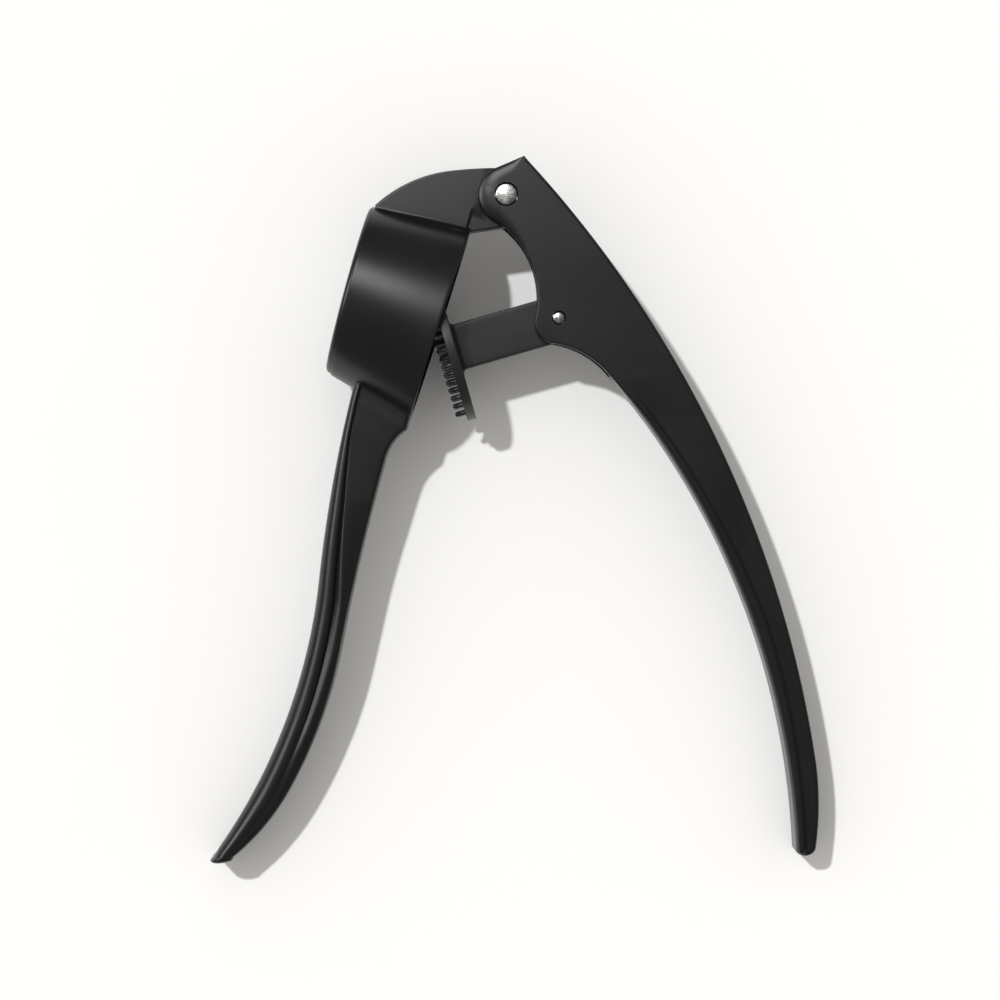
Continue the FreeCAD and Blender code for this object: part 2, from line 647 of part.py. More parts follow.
def make_pin(label, diameter, at_plunger_pin):
    """A plain pin through both cheeks, its ends a little below their faces, with broken edges."""
    rod = doc.addObject("Part::Cylinder", f"{label}_rod")
    rod.setExpression("Radius", f"sizes.{diameter} / 2")
    rod.setExpression("Height", "sizes.press_width - 2 * sizes.pin_recess")
    rod.setExpression("Placement.Base.z", "-(sizes.press_width / 2 - sizes.pin_recess)")
    doc.recompute()
    chamfer = size("pin_end_chamfer")
    pin = doc.addObject("Part::Chamfer", label)
    pin.Base = rod
    pin.Edges = [
        (i, chamfer, chamfer) for i, edge in enumerate(rod.Shape.Edges, 1) if len(edge.Vertexes) == 1
    ]
    pin.Label = label
    place(pin, at_plunger_pin)
    return pin


def make_washers(label, outer, pin_diameter, at_plunger_pin):
    """Two thin washers, one each side of the tongue or arm, between it and the cheeks."""
    rings = []
    for side, word in ((1, "near"), (-1, "far")):
        disc = doc.addObject("Part::Cylinder", f"{label}_{word}_disc")
        disc.setExpression("Radius", f"sizes.{outer} / 2")
        bore = doc.addObject("Part::Cylinder", f"{label}_{word}_bore")
        bore.setExpression("Radius", f"sizes.{pin_diameter} / 2 + sizes.washer_bore_gap")
        middle = "(sizes.cheek_gap - sizes.side_gap) / 2"
        for solid in (disc, bore):
            solid.setExpression("Height", "sizes.washer_thickness")
            solid.setExpression("Placement.Base.z", f"{side} * {middle} - sizes.washer_thickness / 2")
        ring = doc.addObject("Part::Cut", f"{label}_{word}")
        ring.Base = disc
        ring.Tool = bore
        rings.append(ring)
    pair = doc.addObject("Part::Compound", label)
    pair.Links = rings
    pair.Label = label
    place(pair, at_plunger_pin)
    return pair


# ---------------------------------------------------------------- the whole press


def set_frame(pieces):
    """Put the frame's origin under the middle of the whole press, on the surface that it lies on."""
    doc.recompute()
    box = FreeCAD.BoundBox()
    for piece in pieces:
        for point in piece.Shape.tessellate(FINE)[0]:
            box.add(point)
    shift = {"x": -box.Center.x, "y": -box.Center.y, "z": -box.ZMin}
    for axis, value in shift.items():
        sheet.set(f"frame_shift_{axis}", str(round(value, 4)))
    doc.recompute()


def check(pieces):
    """Stop if any object failed to rebuild, or if a piece has no valid solid."""
    for thing in doc.Objects:
        if "Invalid" in thing.State or "Error" in thing.State:
            raise RuntimeError(f"{thing.Name} failed: {thing.State}")
    for piece in pieces:
        if piece.Shape.isNull() or not piece.Shape.isValid() or not piece.Shape.Solids:
            raise RuntimeError(f"{piece.Label} has no valid solid")


fill_sheet()
pieces = [
    make_hopper_handle(),
    make_sieve_plate(),
    make_press_handle(),
    make_plunger(),
    make_peg_plate(),
    make_pin("main_pivot_pin", "main_pin_dia", False),
    make_pin("plunger_pivot_pin", "plunger_pin_dia", True),
    make_washers("main_pivot_washers", "main_washer_dia", "main_pin_dia", False),
    make_washers("plunger_pivot_washers", "plunger_washer_dia", "plunger_pin_dia", True),
]
set_frame(pieces)
check(pieces)

os.makedirs("parts", exist_ok=True)
for piece in pieces:
    piece.Shape.exportStep(f"parts/{piece.Label}.step")
    print(piece.Label, len(piece.Shape.Solids), "solid(s)", round(piece.Shape.Volume), "mm3")
print("frame shift", [round(size(f"frame_shift_{axis}"), 3) for axis in "xyz"])
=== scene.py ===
"""Looks of a hand garlic press: smooth castings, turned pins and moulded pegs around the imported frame.

Shapes are worked out in millimetres in the working frame: the main pin is the Z axis, Z is 0 at the press's
mid-plane, X runs along the hopper from its sieve to its mouth, and Y from the hopper up to the hinge.
"""

import json
import math

import bmesh
import bpy
import numpy as np
from mathutils import Matrix, Vector


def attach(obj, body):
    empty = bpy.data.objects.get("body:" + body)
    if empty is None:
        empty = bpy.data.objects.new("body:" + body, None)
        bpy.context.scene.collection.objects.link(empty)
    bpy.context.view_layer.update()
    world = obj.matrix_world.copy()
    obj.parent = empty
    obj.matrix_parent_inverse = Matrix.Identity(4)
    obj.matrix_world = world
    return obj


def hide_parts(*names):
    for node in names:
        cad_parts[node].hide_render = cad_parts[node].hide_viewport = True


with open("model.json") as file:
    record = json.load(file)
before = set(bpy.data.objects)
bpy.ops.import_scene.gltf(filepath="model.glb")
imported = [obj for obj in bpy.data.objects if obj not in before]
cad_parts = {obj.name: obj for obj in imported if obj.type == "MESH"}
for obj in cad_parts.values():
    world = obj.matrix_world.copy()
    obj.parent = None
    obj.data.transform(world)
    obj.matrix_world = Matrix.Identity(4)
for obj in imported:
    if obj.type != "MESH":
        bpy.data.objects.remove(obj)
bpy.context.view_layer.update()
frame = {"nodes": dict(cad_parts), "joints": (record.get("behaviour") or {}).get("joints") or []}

MM = 0.001
JOINTS = {joint["name"]: np.array(joint["pos_m"], float) / MM for joint in frame["joints"]}
MAIN_PIN = JOINTS["handle_hinge"]
PLUNGER_PIN = (JOINTS["plunger_hinge"] - MAIN_PIN)[:2]
PLUNGER_TILT = math.radians(31.4)

# ---------------------------------------------------------------- sizes, in millimetres and degrees
HOPPER_BACK = -31.9
BACK_TOP, BACK_BOTTOM = -11.3, -54.1
MOUTH_BACK, MOUTH_LEAN = 5.87, math.radians(2.4)
MOUTH_DROP, MOUTH_HALF_HEIGHT = 35.53, 25.2
HOPPER_HALF_WIDTH = 17.0
HOPPER_DRAFT, DRAFT_START = 0.03, -8.0  # drawn in by this share towards the sieve, from here
HOPPER_LENGTH, CHAMBER_LENGTH = 24.0, 24.4
BORE_BACK = (-33.15, 18.9, 14.6)  # chamber at the sieve: middle, half height, half width
BORE_MOUTH = (-35.5, 23.2, 15.3)
WINDOW_INSET = 1.5
LEDGE = 1.3
EAR_HALF, TONGUE_HALF = 3.8, 3.5
TONGUE_START, TONGUE_RADIUS = -7.2, 6.7
GRIP_HALF, FINGER_ROUND = 7.5, 1.1
TIP_PALM, TIP_FINGER = (-27.4, -178.8), (-22.0, -176.6)
PRESS_HALF = 6.8
CHANNEL_HALF = 4.0
CHANNEL_END, CHANNEL_CORNER = 63.5, 4.0  # along the outer edge, and its corner's radius
PRESS_CORNER, NOSE_RADIUS, NOSE_END = (1.75, 10.25), 7.0, -104.3
SPINE = 2.3
PLATE_REACH, PLATE_THICKNESS = 28.75, 2.3
PLATE_HALF_HEIGHT, PLATE_HALF_WIDTH = 18.3, 14.0
ARM_HALF_HEIGHT, ARM_HALF_WIDTH = 5.75, 3.5
MAIN_PIN_RADIUS, SMALL_PIN_RADIUS, PIN_RECESS = 2.7, 1.5, 0.02
JOINED = 2e-4  # points this close become one
SHARP = math.radians(38)


# ---------------------------------------------------------------- curves


def heading(angle):
    """Unit vector at an angle in degrees."""
    return np.array([math.cos(math.radians(angle)), math.sin(math.radians(angle))])


def arcs(start, angle, runs, spacing=0.25):
    """Points along a chain of tangent arcs: each run is a radius and a signed turn, left positive."""
    points = [np.array([start], float)]
    here, facing = np.array(start, float), angle
    for radius, sweep in runs:
        side = math.copysign(1.0, sweep)
        centre = here + heading(facing + 90 * side) * radius
        count = max(3, int(radius * math.radians(abs(sweep)) / spacing))
        spokes = np.radians(facing - 90 * side + np.linspace(0, sweep, count + 1)[1:])
        points.append(centre + radius * np.stack([np.cos(spokes), np.sin(spokes)], 1))
        here, facing = points[-1][-1], facing + sweep
    return np.concatenate(points)


def along(points):
    """Running length along a line of points."""
    return np.concatenate([[0.0], np.cumsum(np.linalg.norm(np.diff(points, axis=0), axis=1))])


def at_lengths(points, lengths):
    """Points of a line at given running lengths."""
    run = along(points)
    return np.stack([np.interp(lengths, run, points[:, k]) for k in (0, 1)], 1)


def left_normals(points):
    """Unit normals to the left of a line of points."""
    step = np.gradient(points, axis=0)
    step /= np.maximum(np.linalg.norm(step, axis=1, keepdims=True), 1e-9)
    return np.stack([-step[:, 1], step[:, 0]], 1)


def ease(low, high, x):
    """Smooth step from 0 at low to 1 at high."""
    t = np.clip((x - low) / (high - low), 0, 1)
    return t * t * (3 - 2 * t)


def soft_max(a, b, blend):
    """The larger of two heights, with a rounded valley where they cross."""
    return 0.5 * (a + b + np.sqrt((a - b) ** 2 + blend ** 2))


# ---------------------------------------------------------------- meshes


def smooth(mesh):
    """Smooth shading, with an edge kept sharp where its faces meet at more than SHARP."""
    mesh.polygons.foreach_set("use_smooth", np.ones(len(mesh.polygons), bool))
    mesh.set_sharp_from_angle(angle=SHARP)


def add_piece(name, sheets, body, material, mirrored=True):
    """Mesh from grids of points (rows, columns, 3): quads between neighbours, a mirror copy below the mid-plane
    if wanted, everything that meets joined, open ends closed, and faces turned outward."""
    points, faces, first = [], [], 0
    for sheet in sheets:
        for side in ((1, -1) if mirrored else (1,)):
            rows, columns = sheet.shape[:2]
            index = first + np.arange(rows * columns).reshape(rows, columns)
            corners = index[:-1, :-1], index[:-1, 1:], index[1:, 1:], index[1:, :-1]
            quads = np.stack(corners, -1).reshape(-1, 4)
            points.append(sheet.reshape(-1, 3) * (1, 1, side))
            faces.append(quads if side == 1 else quads[:, ::-1])
            first += rows * columns
    points = (np.concatenate(points) + MAIN_PIN) * MM
    faces = np.concatenate(faces)
    mesh = bpy.data.meshes.new(name)
    mesh.vertices.add(len(points))
    mesh.vertices.foreach_set("co", points.astype(np.float32).ravel())
    mesh.loops.add(faces.size)
    mesh.loops.foreach_set("vertex_index", faces.astype(np.int32).ravel())
    mesh.polygons.add(len(faces))
    mesh.polygons.foreach_set("loop_start", np.arange(0, faces.size, 4, dtype=np.int32))
    mesh.update(calc_edges=True)
    work = bmesh.new()
    work.from_mesh(mesh)
    bmesh.ops.remove_doubles(work, verts=work.verts, dist=JOINED * MM)
    bmesh.ops.dissolve_degenerate(work, edges=work.edges, dist=JOINED * MM)
    bmesh.ops.holes_fill(work, edges=[e for e in work.edges if e.is_boundary], sides=0)
    bmesh.ops.recalc_face_normals(work, faces=work.faces)
    work.to_mesh(mesh)
    work.free()
    smooth(mesh)
    piece = bpy.data.objects.new(name, mesh)
    bpy.context.scene.collection.objects.link(piece)
    mesh.materials.append(material)
    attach(piece, body)
    return piece


def drill(piece, at, radius):
    """Bore a round hole through a piece along the pins: a straight round cutter, then taken away."""
    turn = np.linspace(0, 2 * math.pi, 73)[:-1]
    ring = np.stack([at[0] + radius * np.cos(turn), at[1] + radius * np.sin(turn)], 1)
    points = np.concatenate([np.c_[ring, 0 * turn - 20], np.c_[ring, 0 * turn + 20]]) + MAIN_PIN
    n = len(turn)
    sides = [(k, (k + 1) % n, n + (k + 1) % n, n + k) for k in range(n)]
    mesh = bpy.data.meshes.new("drill")
    mesh.from_pydata((points * MM).tolist(), [], sides + [tuple(range(n))[::-1], tuple(range(n, 2 * n))])
    cutter = bpy.data.objects.new("drill", mesh)
    bpy.context.scene.collection.objects.link(cutter)
    cut = piece.modifiers.new("bore", "BOOLEAN")
    cut.operation, cut.solver, cut.object = "DIFFERENCE", "EXACT", cutter
    bored = bpy.data.meshes.new_from_object(piece.evaluated_get(bpy.context.evaluated_depsgraph_get()))
    piece.modifiers.clear()
    old = piece.data
    piece.data = bored
    bored.name = piece.name
    bpy.data.meshes.remove(old)
    bpy.data.objects.remove(cutter)
    bpy.data.meshes.remove(mesh)
    smooth(bored)


# ---------------------------------------------------------------- hopper


def hopper_line(x, back, edge_x, edge_y):
    """Straight line from the sieve end's plane to the mouth's edge."""
    return back + (x - HOPPER_BACK) * (edge_y - back) / (edge_x - HOPPER_BACK)


def mouth_edge(sign):
    """The mouth's top (1) or bottom (-1) corner."""
    reach = MOUTH_DROP - sign * MOUTH_HALF_HEIGHT
    return -MOUTH_BACK - reach * math.sin(MOUTH_LEAN), -reach * math.cos(MOUTH_LEAN)


def hopper_oval(x):
    """Middle and half height of the hopper's outer oval at a distance along its axis."""
    top = hopper_line(x, BACK_TOP, *mouth_edge(1))
    bottom = hopper_line(x, BACK_BOTTOM, *mouth_edge(-1))
    return 0.5 * (top + bottom), 0.5 * (top - bottom)


def hopper_reach(x):
    """Half the hopper's width along the pins: full at the mouth and a little drawn in towards the sieve."""
    back = np.clip((DRAFT_START - x) / HOPPER_LENGTH, 0, 1)
    return HOPPER_HALF_WIDTH * (1 - HOPPER_DRAFT * back ** 2)


def hopper_half_width(x, y):
    """Height of the hopper's outer wall over the mid-plane, 0 outside it."""
    middle, half = hopper_oval(x)
    return hopper_reach(x) * np.sqrt(np.clip(1 - ((y - middle) / half) ** 2, 0, 1))


def mouth_x(y):
    """The leaning mouth plane."""
    return -MOUTH_BACK + y * math.tan(MOUTH_LEAN)


def wall_ring(angle, share, inside, x_from_back=None):
    """One ring of the hopper's wall: share 0 at the sieve end and 1 at the mouth, inside 0 on the outer oval
    and 1 on the chamber's. The place along the axis follows the leaning mouth."""
    x = np.full_like(angle, HOPPER_BACK + share * HOPPER_LENGTH)
    for _ in range(4):
        middle, half = hopper_oval(x)
        part = (x - HOPPER_BACK) / CHAMBER_LENGTH
        bore = [a + (b - a) * part for a, b in zip(BORE_BACK, BORE_MOUTH)]
        y = (middle + (bore[0] - middle) * inside) + (half + (bore[1] - half) * inside) * np.cos(angle)
        z = (hopper_reach(x) + (bore[2] - hopper_reach(x)) * inside) * np.sin(angle)
        if x_from_back is None:
            x = HOPPER_BACK + share * (mouth_x(y) - HOPPER_BACK)
        else:
            x = HOPPER_BACK + x_from_back
    return np.stack([x + 0 * y, y, z], 1)


def hopper_wall():
    """Closed wall section carried round the oval: sieve end, outer wall, rim, chamber and ledge."""
    angle = np.linspace(0, 2 * math.pi, 289)
    round_back, rim = 1.2, 0.3 / HOPPER_LENGTH
    rings = []
    for x, inset in ((LEDGE, 0.0), (0.15, 0.0), (0.0, 0.15)):
        middle, half, width = BORE_BACK
        half, width = half - WINDOW_INSET + inset, width - WINDOW_INSET + inset
        rings.append(np.stack([0 * angle + HOPPER_BACK + x, middle + half * np.cos(angle),
                               width * np.sin(angle)], 1))
    for turn in np.linspace(0, 90, 9):
        middle, half = hopper_oval(np.float64(HOPPER_BACK))
        inset = round_back * (1 - math.sin(math.radians(turn)))
        x = HOPPER_BACK + round_back * (1 - math.cos(math.radians(turn)))
        rings.append(np.stack([0 * angle + x, middle + (half - inset) * np.cos(angle),
                               (hopper_reach(x) - inset) * np.sin(angle)], 1))
    rings += [wall_ring(angle, share, 0.0) for share in np.linspace(0.07, 1 - rim, 40)]
    rings += [wall_ring(angle, 1 - rim * (1 - math.sin(t)), 0.12 * (1 - math.cos(t)))
              for t in np.radians((30, 60, 90))]
    rings += [wall_ring(angle, 1 - rim * (1 - math.cos(t)), 1 - 0.12 * (1 - math.sin(t)))
              for t in np.radians((0, 30, 60, 90))]
    rings += [wall_ring(angle, share, 1.0) for share in np.linspace(1 - 1.5 * rim, 0.09, 24)]
    rings.append(wall_ring(angle, 0, 1.0, LEDGE))
    rings.append(rings[0])
    return np.array(rings)


# ---------------------------------------------------------------- flat links turning on a pin


def pierced_plate(outline, hole, face, edge_round, columns=540, inner_rows=46):
    """Upper half of a flat link about a pin hole: rays from the pin out to the outline, with a broken edge.
    face(x, y) gives the top's height; rays are evenly spaced along the outline."""
    run = along(outline)
    rim = at_lengths(outline, np.linspace(0, run[-1], columns))
    reach = np.linalg.norm(rim, axis=1, keepdims=True)
    ray = rim / reach
    rows = []
    for z_share in (0.0, 0.5, 1.0):
        flat = ray * hole
        rows.append(np.concatenate([flat, (face(*flat.T) * z_share)[:, None]], 1))
    for share in np.linspace(0.02, 1, inner_rows):
        flat = ray * (hole + (reach - edge_round - hole) * share)
        rows.append(np.concatenate([flat, face(*flat.T)[:, None]], 1))
    for turn in np.radians(np.linspace(15, 90, 6)):
        flat = ray * (reach - edge_round * (1 - math.sin(turn)))
        top = face(*flat.T) - edge_round * (1 - math.cos(turn))
        rows.append(np.concatenate([flat, top[:, None]], 1))
    for share in (0.66, 0.33, 0.0):
        flat = ray * reach
        rows.append(np.concatenate([flat, ((face(*flat.T) - edge_round) * share)[:, None]], 1))
    return np.array(rows)


def ear_face(x, y):
    """Top of the ear: flat, a fading step down to the tongue, and a rounded valley up the hopper's wall."""
    step = ease(TONGUE_START - 0.12, TONGUE_START + 0.12, x) * (1 - ease(-7.6, -4.6, y))
    ramp = ease(TONGUE_START, TONGUE_START + 4, x)
    top = EAR_HALF - (EAR_HALF - TONGUE_HALF) * np.maximum(step, ramp)
    top = top - 0.01 * np.clip(y - 0.1 * x + 8.0, 0, 30) * (1 - ramp)
    blend = 0.35 + 1.1 * ease(-30, -8, x)
    wall = hopper_half_width(x, y) * (x < mouth_x(y) - 0.02)
    return soft_max(top, wall - 0.05, blend * ease(0.5, 2.5, wall))


def ear():
    """The flat ear: two arcs on top, a round end about the pin, a chin, and its root in the hopper's wall."""
    top = arcs((-30.7, -11.0), 57.9, [(33.2, -36.0), (107.2, -6.4)])
    spokes = np.radians(np.linspace(96, -45, 60))
    end = TONGUE_RADIUS * np.stack([np.cos(spokes), np.sin(spokes)], 1)
    chin = np.array([(3.0, -7.2), (0.9, -8.1), (-5.6, -10.9), (-6.6, -11.4)])
    root = np.array([(-8.5, -11.75), (-20.0, -12.1), (-30.3, -12.45), (-30.7, -11.0)])
    return np.concatenate([top, end, chin, root])


# ---------------------------------------------------------------- hopper's handle


def grip_edges(stations):
    """Palm edge and finger edge of the lower handle: each station's line crosses the palm edge squarely,
    except near the hopper and the tip, where the lines fan out to the edges' own ends."""
    palm = arcs((-23.9, -58.7), -88.5, [(352.0, 7.5), (145.0, -28.5), (9.0, 14.0)])
    palm = np.concatenate([palm, [TIP_PALM]])
    finger = arcs((-8.49, -62.73), -131.9, [(12.2, 41.4), (560.0, 5.0), (118.4, -17.8), (57.1, -21.9)])
    finger = finger[finger[:, 1] > TIP_FINGER[1]]
    finger = np.concatenate([finger, [TIP_FINGER]])
    palm_run, finger_run = along(palm), along(finger)
    run = np.linspace(0, palm_run[-1], stations)
    spots = at_lengths(palm, run)
    ahead = np.gradient(spots, axis=0)
    past = ((finger[None] - spots[:, None]) * ahead[:, None]).sum(2)
    square = finger_run[np.argmin(np.abs(past), 1)]
    knots = [0.0, 26.0, 45.0, 65.0, 85.0, 105.0, palm_run[-1]]
    matched = np.interp(knots, run, square)
    matched[0], matched[-1] = 0.0, finger_run[-1]
    return spots, at_lengths(finger, np.interp(run, knots, matched))


def grip_section(width, share):
    """Profile across the handle, palm to finger, for each station: a round palm lobe that falls into a
    crease, then the web's shoulder, a slope to the finger side, a rounded edge and a wall down to the middle."""
    width, share = width[:, None], share[:, None]
    crease = np.interp(share, [0, 0.07, 0.21, 0.42, 0.65, 0.9, 1], [1.9, 2.1, 3.5, 4.6, 4.9, 5.0, 3.4])
    crease = np.minimum(crease, 0.64 * width)
    depth = np.interp(share, [0, 0.12, 0.4, 0.66, 0.84, 0.92, 1], [0.8, 0.9, 1.2, 0.9, 0.35, 0.08, 0.0])
    shoulder = np.interp(share, [0, 0.21, 0.3, 0.42, 0.52, 0.66, 0.86, 1],
                         [0.35, 0.5, 1.0, 1.9, 2.2, 1.5, 0.8, 0.5])
    web = GRIP_HALF - np.interp(share, [0, 0.15, 0.4, 0.66, 0.9, 1], [0.9, 0.7, 0.3, 0.45, 0.5, 0.6])
    slope = np.interp(share, [0, 0.2, 0.42, 0.66, 1], [0.015, 0.08, 0.42, 0.45, 0.35])
    low = GRIP_HALF - depth
    web = np.maximum(web, low - 0.05)
    lobe_top = 0.74 * crease
    lobe_tall = 1.15 * lobe_top
    foot = GRIP_HALF - lobe_tall
    ridge = crease + shoulder
    far = np.maximum(width - FINGER_ROUND, ridge + 0.2)
    across, height = [], []

    def add(a, z):
        across.append(a + 0 * z)
        height.append(z + 0 * a)

    add(0 * foot, foot * np.linspace(0, 1, 5)[:-1])
    swing = np.linspace(0, math.pi / 2, 22)
    add(lobe_top * (1 - np.cos(swing)), foot + lobe_tall * np.sin(swing))
    t = np.linspace(0, 1, 14)[1:]
    add(lobe_top + (crease - lobe_top) * t, GRIP_HALF - depth * t ** 2)
    t = np.linspace(0, 1, 9)[1:]
    add(crease + shoulder * t, low + (web - low) * np.sin(t * math.pi / 2) ** 1.1)
    t = np.linspace(0, 1, 16)[1:]
    add(ridge + (far - ridge) * t, web - slope * (far - ridge) * t ** 1.25)
    last = height[-1][:, -1:]
    turn = np.linspace(0, math.pi / 2, 9)[1:]
    add(far + (width - far) * np.sin(turn), last - FINGER_ROUND * (1 - np.cos(turn)))
    t = np.linspace(0, 1, 9)[1:]
    add(width, (last - FINGER_ROUND) * (1 - t))
    return np.concatenate(across, 1), np.concatenate(height, 1)


def grip():
    """The S-curved handle: the profile carried from the hopper's wall down to a blunt tip."""
    stations = 260
    palm, finger = grip_edges(stations)
    share = np.linspace(0, 1, stations)
    width = np.linalg.norm(finger - palm, axis=1)
    across, height = grip_section(width, share)
    line = (finger - palm) / width[:, None]
    sheet = np.empty(across.shape + (3,))
    sheet[..., :2] = palm[:, None] + across[..., None] * line[:, None]
    sheet[..., 2] = height
    foot, foot_height = sheet[0, :, :2], sheet[0, :, 2]
    rise = []
    for lift in np.linspace(1, 0, 22)[:-1]:
        spot = foot.copy()
        want = np.clip((foot_height + 0.9) / HOPPER_HALF_WIDTH, 0, 0.98)
        stop = hopper_oval(foot[:, 0])[0] - hopper_oval(foot[:, 0])[1] * np.sqrt(1 - want ** 2)
        spot[:, 1] = foot[:, 1] + (stop - foot[:, 1]) * lift
        rise.append(np.concatenate([spot, foot_height[:, None]], 1))
    sheet = np.concatenate([np.array(rise), sheet])
    wall = hopper_half_width(sheet[..., 0], sheet[..., 1]) - 0.05
    top_share = np.clip(sheet[..., 2] / GRIP_HALF, 0, 1)
    lifted = soft_max(sheet[..., 2], wall, 0.5)
    near = ease(0.0, 1.5, wall) * ease(0.25, 0.6, top_share)
    sheet[..., 2] = sheet[..., 2] * (1 - near) + lifted * near
    root = sheet[0]
    middle, half = hopper_oval(root[:, 0])
    deep = []
    for inset, fold in ((0.9, 1.0), (1.0, 0.8), (1.0, 0.6), (1.0, 0.4), (1.0, 0.2), (1.0, 0.0)):
        z = np.maximum(root[:, 2] - 0.5, 0) * fold
        y = middle - (half - inset) * np.sqrt(np.clip(1 - (z / (HOPPER_HALF_WIDTH - inset)) ** 2, 0, 1))
        deep.append(np.stack([root[:, 0], y, z], 1))
    sheet = np.concatenate([np.array(deep[::-1]), sheet])
    end = sheet[-1]
    out = heading(-76.0)
    centre = 0.5 * (np.array(TIP_PALM) + TIP_FINGER)
    cap = []
    for turn in np.radians(np.linspace(12, 90, 8)):
        ring = end.copy()
        shrink = 0.45 + 0.55 * math.cos(turn)
        ring[:, :2] = centre + (end[:, :2] - centre) * shrink + out * math.sin(turn)
        ring[:, 2] *= 0.8 + 0.2 * math.cos(turn)
        cap.append(ring)
    cap.append(cap[-1] * (1, 1, 0))
    return np.concatenate([sheet, np.array(cap)])


# ---------------------------------------------------------------- press handle


def press_edges():
    """Outer edge and inner edge of the press handle, matched by pairs of running lengths."""
    corner = np.array(PRESS_CORNER)
    outer = arcs(corner, -31.7, [(282.8, -34.0), (78.9, -16.8)])
    arch = arcs(NOSE_RADIUS * heading(NOSE_END), -14.3,
                [(22.1, -73.9), (5.2, 95.7), (22.2, -41.6), (196.0, -37.8)])
    touch = math.atan2(corner[1], corner[0]) + math.acos(NOSE_RADIUS / np.linalg.norm(corner))
    spokes = np.linspace(touch, math.radians(360 + NOSE_END), 90)
    nose = NOSE_RADIUS * np.stack([np.cos(spokes), np.sin(spokes)], 1)
    brow = corner + (nose[0] - corner) * np.linspace(0, 1, 12)[:-1, None]
    inner = np.concatenate([brow, nose, arch[1:]])
    outer_run, inner_run = along(outer)[-1], along(inner)[-1]
    brow_run = along(brow)[-1]
    pairs = np.array([(0, 0), (2.5, brow_run), (8.5, brow_run + 8), (15, brow_run + 17), (22, brow_run + 27),
                      (32, brow_run + 38), (42, brow_run + 49), (55, brow_run + 61.5), (72, brow_run + 79),
                      (outer_run, inner_run)])
    steps = np.concatenate([np.linspace(0, 70, 300), np.linspace(70, outer_run, 220)[1:]])
    return at_lengths(outer, steps), at_lengths(inner, np.interp(steps, *pairs.T)), steps


def press_handle():
    """Cheeks, spine and handle as one sheet: outer wall, edge, face, inner lip and the channel behind."""
    outer, inner, run = press_edges()
    out_in = -left_normals(outer)
    in_in = left_normals(inner)
    out_in = np.where(((inner.mean(0) - outer) * out_in).sum(1, keepdims=True) > 0, out_in, -out_in)
    edge = 0.8
    lip = np.interp(run, [0, 7, 15, 24, 66, 74, 100, 135, 160, run[-1]],
                    [2.0, 4.4, 3.4, 0.45, 0.45, 1.5, 1.9, 2.9, 2.3, 1.7])
    drop = np.interp(run, [0, 66, 78, 120, run[-1]], [0.0, 0.0, 0.4, 0.55, 0.6])
    width = np.linalg.norm(inner - outer, axis=1)
    span = np.minimum(1.0, width / 4.0)
    edge = edge * span
    lip = lip * span
    rows = []

    def row(flat, z):
        rows.append(np.concatenate([flat, (z + 0 * flat[:, 0])[:, None]], 1))

    for z_share in (0.0, 0.3, 0.6, 0.85):
        row(outer, (PRESS_HALF - 0.9) * z_share)
    for turn in np.radians(np.linspace(0, 90, 8)):
        inward, down = edge * (1 - math.cos(turn)), edge * (1 - math.sin(turn))
        row(outer + out_in * inward[:, None], PRESS_HALF - 0.25 * drop - down)
    start = outer + out_in * edge[:, None]
    dip = np.minimum(1.0, 0.2 * width)
    finish = inner + in_in * (lip + dip * (drop > 0.01))[:, None]
    for t in np.linspace(0, 1, 30)[1:]:
        groove = 0.09 * drop / 0.55 * np.exp(-((t - 0.42) / 0.05) ** 2)
        row(start + (finish - start) * t, PRESS_HALF - drop * (0.25 + 0.75 * ease(0, 1, t)) - groove)
    shore = inner + in_in * lip[:, None]
    for t in np.linspace(0, 1, 8)[1:]:
        row(finish + (shore - finish) * t, PRESS_HALF - drop * (1 - ease(0, 1, t)))
    tall = np.interp(run, [0, 7, 15, 24, 66, 78, run[-1]], [0.5, 1.0, 0.9, 0.45, 0.45, 2.4, 2.8]) * span
    for turn in np.radians(np.linspace(0, 90, 12))[1:]:
        row(inner + in_in * (lip * (1 - math.sin(turn)))[:, None], PRESS_HALF - tall * (1 - math.cos(turn)))
    for t in (0.5, 1.0):
        row(inner, PRESS_HALF - tall + (CHANNEL_HALF - PRESS_HALF + tall) * t)
    past = np.clip(run - (CHANNEL_END - CHANNEL_CORNER), 0, CHANNEL_CORNER)
    corner_cut = CHANNEL_CORNER - np.sqrt(CHANNEL_CORNER ** 2 - past ** 2)
    depth = np.maximum(np.maximum(width - SPINE, 0) - corner_cut, 0)
    depth = np.where(run < CHANNEL_END, depth, 0) * ease(0.2, 0.6, run)
    unit = (outer - inner) / np.maximum(width, 1e-6)[:, None]
    for t in np.linspace(0, 1, 14)[1:]:
        row(inner + unit * (depth * t)[:, None], CHANNEL_HALF)
    for z_share in (0.75, 0.5, 0.25, 0.0):
        row(inner + unit * depth[:, None], CHANNEL_HALF * z_share)
    sheet = np.array(rows).transpose(1, 0, 2)
    tip = sheet[-1]
    out = heading(-84.0)
    cap = []
    centre = 0.5 * (outer[-1] + inner[-1])
    for turn in np.radians(np.linspace(12, 90, 9)):
        ring = tip.copy()
        shrink = max(math.cos(turn), 0.0) ** 0.75
        ring[:, :2] = centre + (tip[:, :2] - centre) * shrink + out * 2.0 * math.sin(turn)
        ring[:, 2] *= 0.82 + 0.18 * math.cos(turn)
        cap.append(ring)
    closing = cap[-1].copy()
    closing[:, 2] = 0
    return np.concatenate([sheet, np.array(cap), closing[None]])


# ---------------------------------------------------------------- plunger, pegs and pins


def to_plunger(points):
    """From the plunger's own frame, pin at the origin and plate square to X, into the press at rest."""
    c, s = math.cos(PLUNGER_TILT), math.sin(PLUNGER_TILT)
    turned = points @ np.array([[c, s, 0], [-s, c, 0], [0, 0, 1]])
    return turned + np.array([*PLUNGER_PIN, 0])


